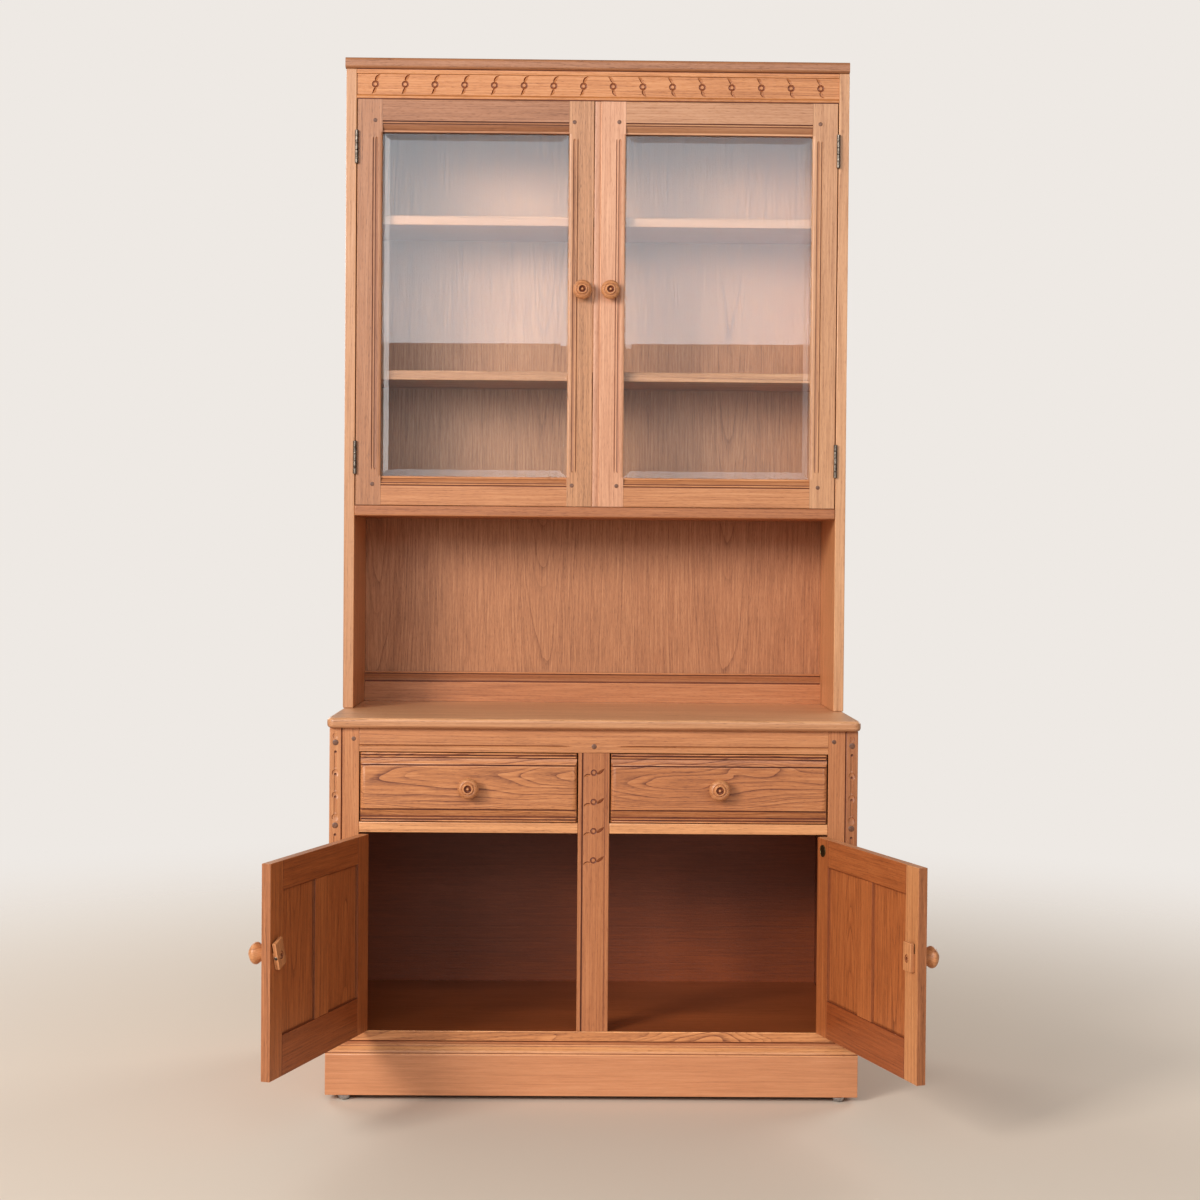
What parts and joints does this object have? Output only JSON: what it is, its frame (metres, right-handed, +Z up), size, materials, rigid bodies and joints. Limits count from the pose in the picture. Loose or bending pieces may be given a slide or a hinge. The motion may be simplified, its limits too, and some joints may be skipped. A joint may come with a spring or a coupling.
{
  "type": "kitchen dresser",
  "caption": "Elm dresser: cupboard base with drawers, turn catches and open recess under a glazed display top with carved frieze.",
  "frame": {"origin": "on the floor, on the centre line, under the middle of the depth taken with the cupboard doors standing open as at rest", "axes": "+X to the dresser's right as seen from in front, -Y out of its front, +Z up"},
  "size_m": [1.1398, 0.8588, 1.944],
  "materials": {
    "waxed_elm": "satin wax over light golden elm",
    "inside_elm": "matt, darker inside",
    "stained_ply": "matt dark stain",
    "clear_glass": "clear, bevelled at the edges",
    "dark_hinge_metal": "antique dark",
    "glide_steel": "domed, bright"
  },
  "bodies": {
    "carcase": {"glide_front_left": "glide_steel", "glide_front_right": "glide_steel", "glide_back_left": "glide_steel", "glide_back_right": "glide_steel", "plinth": "waxed_elm", "base_side_left": "waxed_elm", "base_side_right": "waxed_elm", "base_stile_left": "waxed_elm", "base_stile_right": "waxed_elm", "base_top_rail": "waxed_elm", "base_muntin": "waxed_elm", "drawer_rail_left": "waxed_elm", "drawer_rail_right": "waxed_elm", "base_bottom_rail": "waxed_elm", "base_floor": "waxed_elm", "base_back": "stained_ply", "dust_board": "stained_ply", "drawer_guide": "inside_elm", "worktop": "waxed_elm", "display_side_left": "waxed_elm", "display_side_right": "waxed_elm", "cornice_board": "waxed_elm", "frieze_rail": "waxed_elm", "recess_shelf": "waxed_elm", "display_shelf_lower": "waxed_elm", "display_shelf_upper": "waxed_elm", "display_back": "inside_elm", "back_upstand": "waxed_elm"},
    "drawer_left": {"drawer_left_front": "waxed_elm", "drawer_left_box": "inside_elm", "drawer_left_knob": "waxed_elm"},
    "drawer_right": {"drawer_right_front": "waxed_elm", "drawer_right_box": "inside_elm", "drawer_right_knob": "waxed_elm"},
    "lower_door_left": {"lower_door_left_frame": "waxed_elm", "lower_door_left_panel": "waxed_elm", "lower_hinge_left_bottom": "dark_hinge_metal", "lower_hinge_left_top": "dark_hinge_metal"},
    "lower_door_right": {"lower_door_right_frame": "waxed_elm", "lower_door_right_panel": "waxed_elm", "lower_hinge_right_bottom": "dark_hinge_metal", "lower_hinge_right_top": "dark_hinge_metal"},
    "door_catch_left": {"lower_door_left_turn": "waxed_elm"},
    "door_catch_right": {"lower_door_right_turn": "waxed_elm"},
    "glazed_door_left": {"glazed_door_left_hinge_stile": "waxed_elm", "glazed_door_left_meeting_stile": "waxed_elm", "glazed_door_left_top_rail": "waxed_elm", "glazed_door_left_bottom_rail": "waxed_elm", "glazed_door_left_glass": "clear_glass", "glazed_door_left_knob": "waxed_elm", "glazed_hinge_left_bottom": "dark_hinge_metal", "glazed_hinge_left_top": "dark_hinge_metal"},
    "glazed_door_right": {"glazed_door_right_hinge_stile": "waxed_elm", "glazed_door_right_meeting_stile": "waxed_elm", "glazed_door_right_top_rail": "waxed_elm", "glazed_door_right_bottom_rail": "waxed_elm", "glazed_door_right_glass": "clear_glass", "glazed_door_right_knob": "waxed_elm", "glazed_hinge_right_bottom": "dark_hinge_metal", "glazed_hinge_right_top": "dark_hinge_metal"}
  },
  "joints": [
    {"name": "drawer_left_slide", "type": "slide", "parent": "carcase", "child": "drawer_left", "axis": [0, -1, 0], "range_m": [0, 0.3]},
    {"name": "drawer_right_slide", "type": "slide", "parent": "carcase", "child": "drawer_right", "axis": [0, -1, 0], "range_m": [0, 0.3]},
    {"name": "lower_door_left_hinge", "type": "hinge", "parent": "carcase", "child": "lower_door_left", "pos_m": [-0.4261, -0.04436, 0.306], "axis": [0, 0, -1], "range_deg": [-108, 52]},
    {"name": "lower_door_right_hinge", "type": "hinge", "parent": "carcase", "child": "lower_door_right", "pos_m": [0.4261, -0.04436, 0.306], "axis": [0, 0, 1], "range_deg": [-108, 52]},
    {"name": "door_catch_left_turn", "type": "hinge", "parent": "lower_door_left", "child": "door_catch_left", "pos_m": [-0.53791, -0.3998, 0.333], "axis": [0.9511, -0.309, 0], "range_deg": [-20, 70]},
    {"name": "door_catch_right_turn", "type": "hinge", "parent": "lower_door_right", "child": "door_catch_right", "pos_m": [0.53791, -0.3998, 0.333], "axis": [0.9511, 0.309, 0], "range_deg": [0, 90]},
    {"name": "glazed_door_left_hinge", "type": "hinge", "parent": "carcase", "child": "glazed_door_left", "pos_m": [-0.4621, 0.18364, 1.4766], "axis": [0, 0, -1], "range_deg": [0, 160]},
    {"name": "glazed_door_right_hinge", "type": "hinge", "parent": "carcase", "child": "glazed_door_right", "pos_m": [0.4621, 0.18364, 1.4766], "axis": [0, 0, 1], "range_deg": [0, 160]}
  ]
}
